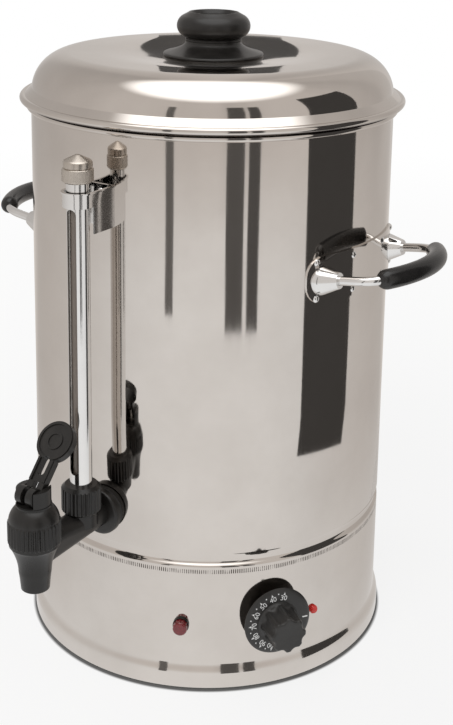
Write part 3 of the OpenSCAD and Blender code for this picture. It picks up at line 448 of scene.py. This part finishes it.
# Flared skirt (power curve), grooved neck, round bulb and a rimmed top dished by a parabola
def knobOutline(d):
    t = np.linspace(0, 1, 22)
    flare = np.column_stack([d["neck"] + (d["skirt"] - d["neck"]) * (1 - t) ** d["flarePower"],
                             d["skirtZ"] + (d["neckZ"] - d["skirtZ"]) * t])
    groove = np.array([[0, 0], [-d["grooveDeep"], 0.15], [-d["grooveDeep"], 0.45], [0, 0.6]])
    grooves = np.vstack([groove + [d["neck"], d["neckZ"] + low] for low in d["grooves"]])
    bulb = arcPoints(d["neck"] - 2, d["bulbZ"], d["bulb"] - d["neck"] + 2, -58, 62, 26)
    lip = arcPoints(d["lipRadius"], d["height"] - d["lip"], d["lip"], 40, 150, 8)
    r = np.linspace(d["dish"], pole, 12)
    top = np.column_stack([r, d["height"] - d["dishDeep"] + d["dishRise"] * (r / d["dish"]) ** 2])
    base = [[pole, 0], [d["skirt"], 0], [d["skirt"] + 0.6, 0.8], [d["skirt"] + 0.3, 1.6]]
    return np.vstack([base, flare, grooves, bulb, lip, top]) + [0, d["z"]]


dress(revolve("knobSkin", knobOutline(knob), black, 160, closed=False), "lid_knob")
print("tank, skirt, lid and knob made")


# Bow and bend are radii of the rod's line, half is half of the bow's angle, and lift its tilt
handle = {"z": 280.0, "reach": 168.5, "bow": 65.3, "half": 34.5, "bend": 20.8, "lift": 8.0, "pivot": 120.0,
          "foot": 127.4, "rod": 3.0, "grip": 6.5, "tipLong": 5.6, "tipRound": 0.82}


# Half of the rod's line in its own plane, as (x, y): the bow alone, and bow, bend and straight run
def rodHalf(d):
    bowX = d["reach"] - d["bow"]
    half = math.radians(d["half"])
    bow = arcPoints(bowX, 0, d["bow"], 0, d["half"], 24)
    bendX = bowX + (d["bow"] - d["bend"]) * math.cos(half)
    bendY = (d["bow"] - d["bend"]) * math.sin(half)
    bend = arcPoints(bendX, bendY, d["bend"], d["half"], 90, 16)[1:]
    return bow, np.vstack([bow, bend, [[d["foot"], bendY + d["bend"]]]])


# A half line that starts on the x axis, and its mirror image, as one line from end to end
def mirrored(half):
    return np.vstack([half[::-1] * [1, -1], half[1:]])


# Lifts plane points about the handle's pivot line, and turns them to their side of the tank
def placeHandle(points, d, sign):
    lift = math.radians(d["lift"])
    out = points[:, 0] - d["pivot"]
    x = d["pivot"] + out * math.cos(lift)
    z = d["z"] + out * math.sin(lift)
    return np.column_stack([sign * x, sign * points[:, 1], z])


# The sleeve's line and radii: the bow, with a tip at each end where the radius falls off as
# the side of a blunt ball, sqrt(1 - (tipRound sin)^2)
def gripSleeve(bow, d):
    line = mirrored(bow)
    along = line[-1] - line[-2]
    along /= np.linalg.norm(along)
    rise = np.sin(np.linspace(0, 1, 9)[1:] * np.pi / 2)
    tip = line[-1] + along * (d["tipLong"] * rise)[:, None]
    tipRadius = d["grip"] * np.sqrt(1 - (d["tipRound"] * rise) ** 2)
    radii = np.concatenate([tipRadius[::-1], np.full(len(line), d["grip"]), tipRadius])
    return np.vstack([(tip * [1, -1])[::-1], line, tip]), radii


for sideName, sign in (("right", 1), ("left", -1)):
    bow, whole = rodHalf(handle)
    rodPath = placeHandle(mirrored(whole), handle, sign)
    dress(sweepTube("rodSkin_" + sideName, rodPath, handle["rod"], chrome), "handle_rod_" + sideName)
    gripLine, gripRadii = gripSleeve(bow, handle)
    gripPath = placeHandle(gripLine, handle, sign)
    grip = sweepTube("gripSkin_" + sideName, gripPath, gripRadii, gripBlack, 40, 70)
    dress(grip, "handle_grip_" + sideName)
    smoothCopy("handle_plate_" + sideName, steel)
    smoothCopy("handle_bosses_" + sideName, chrome)
    smoothCopy("handle_rivets_" + sideName, chrome, 50)
print("handles made")


# Small parts, as merged copies of their solids
partFinish = {
    "tap_body": black, "tap_bonnet": black, "tap_lever": black, "tap_lever_pin": satin, "tap_stem": satin,
    "tap_outer_washer": rubber, "tap_inner_washer": rubber, "tap_shank_nut": satin,
    "tap_seat_cup": silicone,
    "gauge_nut": black, "gauge_shield": chrome, "gauge_bracket": chrome, "gauge_bracket_screws": chrome,
    "gauge_glass": glass, "gauge_lower_seal": rubber, "gauge_upper_seal": rubber,
    "thermostat_shaft": zinc, "thermostat_body": ceramic, "thermostat_screws": zinc,
    "thermostat_bulb": copper, "pilot_lens": lens, "pilot_lamp_body": black, "index_plug": plugRed,
    "tank_bottom": satin, "base_plate": zinc, "rubber_feet": rubber, "foot_screws": zinc, "foot_nuts": zinc,
    "tie_rod": zinc, "tie_nuts": zinc, "lid_knob_screw": satin, "lid_knob_washer": satin,
    "tap_spring": satin,
    "heat_plate": castAluminium, "heating_element": elementSteel, "element_clamp": zinc,
    "thermal_cutout": phenolic, "terminal_block": ceramic, "earth_stud": brass, "cord_gland": black,
}
skins = {node: smoothCopy(node, material) for node, material in partFinish.items()}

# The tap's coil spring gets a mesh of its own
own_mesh(skins["tap_spring"])
print("small parts dressed:", len(skins))


cap = {"y": -148.5, "z": 347.3, "bore": 8.1, "knurl": 9.75, "knurlLow": 1.0, "knurlHigh": 8.3, "band": 9.2,
       "grooveDeep": 0.8, "shoulder": 12.4, "edge": 2.0, "cone": 66, "tip": 5.0, "height": 17.2,
       "diamonds": 56, "deep": 0.2, "mean": 1.2, "pitch": 1.1}


# Knurled band, a groove, a plain band with a round shoulder and a low cone with a round tip
def capOutline(d):
    high = d["knurlHigh"]
    knurled = [[d["knurl"], z] for z in np.linspace(d["knurlLow"], high, 36)]
    band, bottom = d["band"], d["band"] - d["grooveDeep"]
    groove = [[band - 0.1, high + 0.5], [bottom, high + 0.7], [bottom, high + 1.2], [band, high + 1.5]]
    shoulder = arcPoints(band - d["edge"], d["shoulder"] - 0.4, d["edge"], 0, d["cone"], 9)
    tip = arcPoints(0, d["height"] - d["tip"], d["tip"], d["cone"], 89.6, 8)
    inside = [[pole, d["shoulder"]], [d["bore"], d["shoulder"]], [d["bore"], 0]]
    return np.vstack([[[d["knurl"] - 0.9, 0]], knurled, groove, shoulder, tip, inside]) + [0, d["z"]]


# Diamonds: the sum of two rows of ribs wound the opposite ways round the band
def knurl(r, a, z):
    up = np.pi * (z - cap["z"]) / cap["pitch"]
    turn = cap["diamonds"] * a / 2
    inBand = (z > cap["z"] + cap["knurlLow"] + 0.1) & (z < cap["z"] + cap["knurlHigh"] - 0.1)
    return r + inBand * cap["deep"] * (np.abs(np.cos(turn + up)) + np.abs(np.cos(turn - up)) - cap["mean"])


dress(revolve("capSkin", capOutline(cap), capNickel, cap["diamonds"] * 6, (0.0, cap["y"]),
              sharpDegrees=60, wave=knurl), "gauge_cap")
print("gauge cap made")


# The disc's back stands off the wall. First, step and offTurn are turns clockwise from the top,
# in degrees, and the numbers follow one another anticlockwise.
dial = {"bearing": 54.2, "z": 49.9, "back": tank["radius"] + 5.7, "radius": 23.2, "thick": 3.0,
        "hub": 7.0, "hubDeep": 3.0, "grip": 12.9, "gripTop": 12.3, "gripHigh": 18.5,
        "foot": 1.3, "footHigh": 2.2, "edge": 1.8, "dish": 0.5,
        "flutes": 8, "scallop": 5.0, "scallopOut": 16.2, "soft": 0.5, "fluteFrom": 0.8, "fluteEase": 2.6,
        "numberRadius": 17.0, "markRadius": 20.1, "first": 12.0, "step": 25.5, "offTurn": 90.0,
        "numbers": range(30, 120, 10), "height": 5.0, "proud": 0.14, "sunk": 0.02}


# Moves flat points (x right, y up, z outward, millimetres) onto the wall at a bearing and height
def onWall(points, bearing, z, radius):
    a = math.radians(bearing)
    outward = np.array([math.sin(a), -math.cos(a), 0])
    right = np.array([math.cos(a), math.sin(a), 0])
    up = np.array([0, 0, 1])
    return points[:, :1] * right + points[:, 1:2] * up + (points[:, 2:] + radius) * outward + [0, 0, z]


# Disc with a bevelled rim, a foot flared by a parabola and a tapering grip with a round edge and
# a face dished to a shallow cone
def dialOutline(d):
    disc = [[pole, -d["hubDeep"]], [d["hub"], -d["hubDeep"]], [d["hub"], 0], [d["radius"] - 1.2, 0],
            [d["radius"], 0.9], [d["radius"], 1.6], [d["radius"] - 2, d["thick"]]]
    q = np.linspace(0, 1, 9)
    footZ = d["thick"] + 0.02
    sideZ = footZ + d["footHigh"]
    sideHigh = d["gripHigh"] - d["footHigh"] - d["edge"]
    foot = np.column_stack([d["grip"] + d["foot"] * (1 - q) ** 2, footZ + d["footHigh"] * q])
    side = np.column_stack([d["grip"] + (d["gripTop"] - d["grip"]) * q, sideZ + sideHigh * q])[1:]
    top, faceRadius = d["thick"] + d["gripHigh"], d["gripTop"] - d["edge"]
    edge = arcPoints(faceRadius, top - d["edge"], d["edge"], 0, 90, 9)
    face = [[r, top - d["dish"] * (1 - r / faceRadius)] for r in (9.0, 6.0, 3.0, pole)]
    return np.vstack([disc, foot, side, edge, face])


# Scallops: the grip's radius is cut to the near side of circles standing round it, with a soft
# minimum, eased in from the foot
def flutes(r, a, z):
    d = dial
    pitch = 2 * np.pi / d["flutes"]
    off = (a % pitch) - pitch / 2
    across = np.maximum(d["scallop"] ** 2 - (d["scallopOut"] * np.sin(off)) ** 2, 0)
    cut = d["scallopOut"] * np.cos(off) - np.sqrt(across)
    soft = 0.5 * (d["grip"] + cut - np.sqrt((d["grip"] - cut) ** 2 + d["soft"] ** 2))
    share = smoothStep((z - d["thick"] - d["fluteFrom"]) / d["fluteEase"])
    return r * (1 - share * (1 - np.minimum(soft / d["grip"], 1.0)))


def makeDial(d):
    shape = dialOutline(d)
    verts = onWall(turned(shape, roundSteps, flutes).reshape(-1, 3), d["bearing"], d["z"], d["back"]) * mm
    faces = gridFaces(len(shape), roundSteps, False, True)
    dress(meshObject("dialSkin", verts, faces, dialBlack, 40), "thermostat_knob")


# Points of a mark at the dial's top, turned to its place, with its back sunk a little in the face
def onDial(points, turn, d, rise=0.0):
    a = math.radians(-turn)
    x, y, z = points.T
    spun = np.column_stack([x * math.cos(a) - y * math.sin(a), x * math.sin(a) + y * math.cos(a), z])
    return onWall(spun, d["bearing"], d["z"], d["back"] + d["thick"] + rise - d["sunk"]) * mm


# One number as a thin raised mesh, set upright at the top of its ring
def numberMesh(text, turn, d):
    curve = bpy.data.curves.new("number" + text, "FONT")
    curve.body = text
    curve.align_x = "CENTER"
    curve.align_y = "CENTER"
    curve.size = d["height"]
    curve.extrude = d["proud"] / 2
    curve.resolution_u = 3
    holder = bpy.data.objects.new("numberHolder", curve)
    bpy.context.scene.collection.objects.link(holder)
    bpy.context.view_layer.update()
    mesh = bpy.data.meshes.new_from_object(holder.evaluated_get(bpy.context.evaluated_depsgraph_get()))
    bpy.data.objects.remove(holder)
    co = np.zeros(len(mesh.vertices) * 3)
    mesh.vertices.foreach_get("co", co)
    faces = [list(p.vertices) for p in mesh.polygons]
    bpy.data.meshes.remove(mesh)
    return onDial(co.reshape(-1, 3) + [0, d["numberRadius"], 0], turn, d, d["proud"] / 2), faces


# A raised prism over a flat outline
def markMesh(outline, turn, d):
    n = len(outline)
    co = np.vstack([np.column_stack([outline, np.full(n, z)]) for z in (0.0, d["proud"])])
    walls = [[k, (k + 1) % n, n + (k + 1) % n, n + k] for k in range(n)]
    return onDial(co, turn, d), [list(range(n))[::-1], list(range(n, 2 * n))] + walls


# Numbers, with an arrow outside each, a dot between each two, and a bar at the off position
def dialNumbers(d):
    mark = d["markRadius"]
    arrow = [[-0.75, mark - 0.9], [0.75, mark - 0.9], [0.0, mark + 1.0]]
    dot = arcPoints(0, mark, 0.5, 0, 315, 8)
    bar = [[-0.45, mark - 2.6], [0.45, mark - 2.6], [0.45, mark + 1.0], [-0.45, mark + 1.0]]
    pieces = [markMesh(bar, d["offTurn"], d)]
    for i, value in enumerate(d["numbers"]):
        turn = d["first"] - d["step"] * i
        pieces.append(numberMesh(str(value), turn, d))
        pieces.append(markMesh(arrow, turn, d))
        pieces.append(markMesh(dot, turn - d["step"] / 2, d))
    faces, start = [], 0
    for co, polys in pieces:
        faces += [[start + k for k in p] for p in polys]
        start += len(co)
    obj = meshObject("dialNumbers", np.vstack([co for co, polys in pieces]), faces, numberPaint, 20)
    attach(obj, "thermostat_dial")


makeDial(dial)
dialNumbers(dial)
print("dial and numbers made")


# Metres, degrees and pixels
view = {"location": (0.499832, -0.760591, 0.54), "bearing": 32.66, "pitch": 13.36, "roll": -0.8823,
        "focalPixels": 1328, "frame": (453, 725), "shiftDown": -0.26}


def makeCamera(d):
    data = bpy.data.cameras.new("camera")
    data.sensor_fit = "AUTO"
    data.sensor_width = 36.0
    data.lens = d["focalPixels"] / max(d["frame"]) * data.sensor_width
    data.shift_y = d["shiftDown"]
    data.clip_start, data.clip_end = 0.05, 20
    camera = bpy.data.objects.new("camera", data)
    bpy.context.scene.collection.objects.link(camera)
    camera.location = d["location"]
    camera.rotation_mode = "XYZ"
    camera.rotation_euler = (math.radians(90 - d["pitch"]), 0, math.radians(d["bearing"]))
    camera.rotation_euler.rotate_axis("Z", math.radians(-d["roll"]))
    bpy.context.scene.camera = camera


makeCamera(view)

# The painted contact shadow under the foot's edge and the fade are distances from the tank's axis in
# metres.
# The floor levels and the tint are what mirrors see of it.
stage = {"floorSize": 12.0, "floorColour": (0.86, 0.855, 0.85), "worldDiffuse": 0.55, "worldSeen": 1.0,
         "seenGlow": 0.82, "paintedContactShadow": (0.1285, 0.1305), "paintedShadowDark": 0.03, "fade": (0.3, 1.6),
         "floorFront": 0.95, "floorFlank": 0.56, "floorRear": 0.80, "flankTint": (1.0, 0.935, 0.88),
         "cameraBearing": 33.0, "lampAim": (0, 0, 0.2)}


# Colour of the floor as mirrors see it: brightest at the camera's side, dim at its flanks,
# brighter again at the rear. Facing is 1 at the camera's bearing and -1 behind the urn.
def mirroredFloor(m, d):
    away = m.math("SUBTRACT", m.bearing(), 0.5 + d["cameraBearing"] / 360)
    facing = m.math("COSINE", m.math("MULTIPLY", away, 2 * math.pi))
    level = m.math("ADD", m.remap(facing, -0.8, 1, d["floorFlank"], d["floorFront"]),
                   m.remap(facing, -1, -0.75, d["floorRear"] - d["floorFlank"], 0))
    tint = m.blend(m.remap(facing, -0.95, 0.6, 1, 0), (1, 1, 1), d["flankTint"])
    return m.add("ShaderNodeVectorMath", {0: tint, "Scale": level}, operation="SCALE").outputs[0]


# The camera sees a nearly white floor, wholly white further off, with a painted shadow right under
# the foot's edge. Mirrors see the levels above.
def makeFloor(d):
    half = d["floorSize"] / 2
    verts = np.array([[-half, -half, 0], [half, -half, 0], [half, half, 0], [-half, half, 0]], float)
    m = Nodes("paleFloor")
    paler = tuple(0.98 * c for c in d["floorColour"])
    m.set(Base_Color=m.blend(m.noise(3, 2), d["floorColour"], paler), Roughness=0.9)
    path = m.add("ShaderNodeLightPath")
    seen = m.math("MAXIMUM", path.outputs["Is Camera Ray"], path.outputs["Is Transmission Ray"])
    mirrored = path.outputs["Is Glossy Ray"]
    reach = m.reach()
    # Painted shadow: a thin dark ring in the floor's glow, just under the foot's edge
    paintedContactShadow = m.remap(reach, *d["paintedContactShadow"], d["paintedShadowDark"], 1)
    plain = m.remap(reach, *d["fade"], d["seenGlow"], 1)
    share = m.math("MAXIMUM", m.math("MULTIPLY", seen, plain), mirrored)
    paintedShadowColour = m.add("ShaderNodeCombineColor", {0: paintedContactShadow, 1: paintedContactShadow, 2: paintedContactShadow}).outputs[0]
    light = m.glow(m.blend(mirrored, paintedShadowColour, mirroredFloor(m, d)))
    mix = m.add("ShaderNodeMixShader", {0: share, 1: m.shader.outputs[0], 2: light})
    m.tree.links.new(mix.outputs[0], m.tree.nodes["Material Output"].inputs["Surface"])
    meshObject("floor", verts, [[0, 1, 2, 3]], m.material)


# White to the camera, to mirrors and through glass, and dimmer as a light
def makeWorld(d):
    world = bpy.data.worlds.new("softWorld")
    bpy.context.scene.world = world
    world.use_nodes = True
    nodes, links = world.node_tree.nodes, world.node_tree.links
    path = nodes.new("ShaderNodeLightPath")
    seen = path.outputs["Is Camera Ray"]
    for ray in ("Is Glossy Ray", "Is Transmission Ray"):
        most = nodes.new("ShaderNodeMath")
        most.operation = "MAXIMUM"
        links.new(seen, most.inputs[0])
        links.new(path.outputs[ray], most.inputs[1])
        seen = most.outputs[0]
    level = nodes.new("ShaderNodeMapRange")
    level.inputs["To Min"].default_value = d["worldDiffuse"]
    level.inputs["To Max"].default_value = d["worldSeen"]
    links.new(seen, level.inputs["Value"])
    nodes["Background"].inputs["Color"].default_value = (1, 1, 1, 1)
    links.new(level.outputs[0], nodes["Background"].inputs["Strength"])


# Soft rectangular lamp aimed at the urn, unseen in mirrors
def makeLamp(name, place, size, power):
    data = bpy.data.lights.new(name, "AREA")
    data.shape = "RECTANGLE"
    data.size, data.size_y = size
    data.energy = power
    lamp = bpy.data.objects.new(name, data)
    bpy.context.scene.collection.objects.link(lamp)
    lamp.location = place
    lamp.rotation_euler = (Vector(stage["lampAim"]) - Vector(place)).to_track_quat("-Z", "Y").to_euler()
    lamp.visible_glossy = False


# Stage object that shows in reflections and nowhere else
def mirrorOnly(obj):
    obj.visible_camera = False
    obj.visible_diffuse = False
    obj.visible_shadow = False
    obj.visible_transmission = False


# A room that only mirror surfaces see: an upright wall, domed over, whose shade runs smoothly
# round its bearings, with one soft white light high in front of the camera's side. A shade is
# (bearing, brightness). The wall and dome are in millimetres, footRise and lightFrom in metres.
room = {
    "wallRadius": 950, "wallTop": 900, "domeTop": 1700, "tint": (0.95, 0.905, 0.868), "footRise": 0.24,
    "light": 2.2, "lightBearing": 33.0, "lightHeight": 77.0, "lightFrom": (0, 0, 0.42),
    "lightInner": 25.0, "lightOuter": 41.0,
    "shades": [
        (-180, 0.72), (-165, 0.62), (-148, 0.76), (-130, 0.66), (-115, 0.55), (-80, 0.60), (-50, 0.68),
        (-25, 0.74), (-6, 0.76), (8, 0.77), (16, 0.75), (23, 0.75), (30, 0.78), (36, 0.77), (43, 0.68),
        (53, 0.71), (64, 0.75), (82, 0.77), (104, 0.75), (120, 0.70), (135, 0.63), (152, 0.58), (165, 0.64),
    ],
}


def cosDegrees(angle):
    return math.cos(math.radians(angle))


# The wall with a quarter ellipse over it, turned. The wall takes on the floor's levels near its
# foot. The light is where the direction from the lid's middle is within an angle of its own.
def makeRoom(d):
    bend = arcPoints(0, 0, 1, 0, 90, 24)
    dome = bend * [d["wallRadius"], d["domeTop"] - d["wallTop"]] + [0, d["wallTop"]]
    outline = np.vstack([[d["wallRadius"], 0], dome])
    m = Nodes("roomPaint")
    stops = [((b + 180) / 360, tuple(level * t for t in d["tint"])) for b, level in d["shades"]]
    rise = m.remap(m.axes()[2], 0, d["footRise"], 0, 1, "SMOOTHSTEP")
    wall = m.blend(rise, mirroredFloor(m, stage), m.ramp(m.bearing(), stops))
    away = m.add("ShaderNodeVectorMath", {0: m.coords, 1: d["lightFrom"]}, operation="SUBTRACT")
    unit = m.add("ShaderNodeVectorMath", {0: away.outputs[0]}, operation="NORMALIZE")
    b, e = math.radians(d["lightBearing"]), math.radians(d["lightHeight"])
    towards = (math.sin(b) * math.cos(e), -math.cos(b) * math.cos(e), math.sin(e))
    dot = m.add("ShaderNodeVectorMath", {0: unit.outputs[0], 1: towards}, operation="DOT_PRODUCT")
    outer, inner = cosDegrees(d["lightOuter"]), cosDegrees(d["lightInner"])
    spot = m.remap(dot.outputs["Value"], outer, inner, 0, 1, "SMOOTHSTEP")
    m.glow(m.blend(spot, wall, (d["light"],) * 3))
    mirrorOnly(revolve("room", outline, m.material, 96, closed=False))


# Dark cards in the same room, upright along an arc about the tank (degrees and metres)
cards = [
    # name, from bearing, to bearing, distance, bottom, top, brightness
    ("cardRight", 84.0, 117.5, 0.37, 0.0, 0.62, 0.062),
    ("cardNear1", 41.7, 51.6, 0.81, 0.0, 0.80, 0.115),
    ("cardNear2", 53.9, 60.5, 0.81, 0.0, 0.80, 0.10),
    ("cardLeft", 7.4, 12.0, 0.865, 0.0, 0.80, 0.16),
    ("cardBehind", 207.5, 218.0, 0.93, 0.515, 0.70, 0.09),
]
cardTint = (1.0, 0.96, 0.93, 1)


def makeCard(name, start, end, distance, bottom, top, brightness):
    a = np.radians(np.linspace(start, end, 16))
    x, y = distance * np.sin(a), -distance * np.cos(a)
    verts = np.stack([np.stack([x, y, np.full_like(x, z)], -1) for z in (bottom, top)], 0)
    m = Nodes(name + "Paint")
    m.glow(cardTint, brightness)
    mirrorOnly(meshObject(name, verts, gridFaces(2, 16, False, False), m.material))


makeFloor(stage)
makeWorld(stage)
makeLamp("keyLamp", (0.2, -1.6, 1.9), (1.2, 0.8), 14)
makeLamp("sideLamp", (-1.6, -0.4, 1.3), (0.8, 1.2), 6)
makeRoom(room)
for card in cards:
    makeCard(*card)
print("stage made")

bpy.context.scene.view_settings.view_transform = "Standard"
